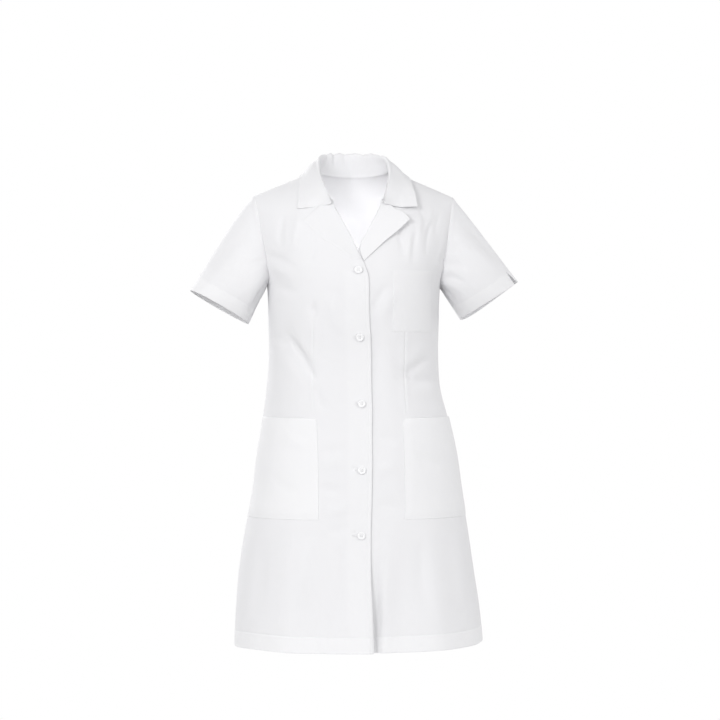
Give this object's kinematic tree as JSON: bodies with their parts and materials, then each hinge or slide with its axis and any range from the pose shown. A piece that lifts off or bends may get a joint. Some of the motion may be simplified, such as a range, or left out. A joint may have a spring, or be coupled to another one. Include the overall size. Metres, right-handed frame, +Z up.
{
  "type": "work tunic",
  "caption": "Short-sleeved women's work tunic with notched collar, button front, chest pocket and two hip pockets, filled out as when worn.",
  "frame": {"origin": "between the shoulders at the height of the neck's base, where a wearer holds the garment up", "axes": "+Z up, +Y towards the garment's back, +X towards the wearer's left"},
  "size_m": [0.6565, 0.2793, 0.9907],
  "materials": {
    "cloth": "cool white cotton and polyester twill, matt, pressed",
    "buttons": "pearly white polyester"
  },
  "bodies": {
    "root": {"back": "cloth", "front_right": "cloth", "front_left": "cloth", "sleeve_right": "cloth", "sleeve_left": "cloth", "collar": "cloth", "lapel_right": "cloth", "lapel_left": "cloth", "chest_pocket": "cloth", "hip_pocket_right": "cloth", "hip_pocket_left": "cloth", "button_1": "buttons", "button_2": "buttons", "button_3": "buttons", "button_4": "buttons", "button_5": "buttons"}
  },
  "joints": []
}
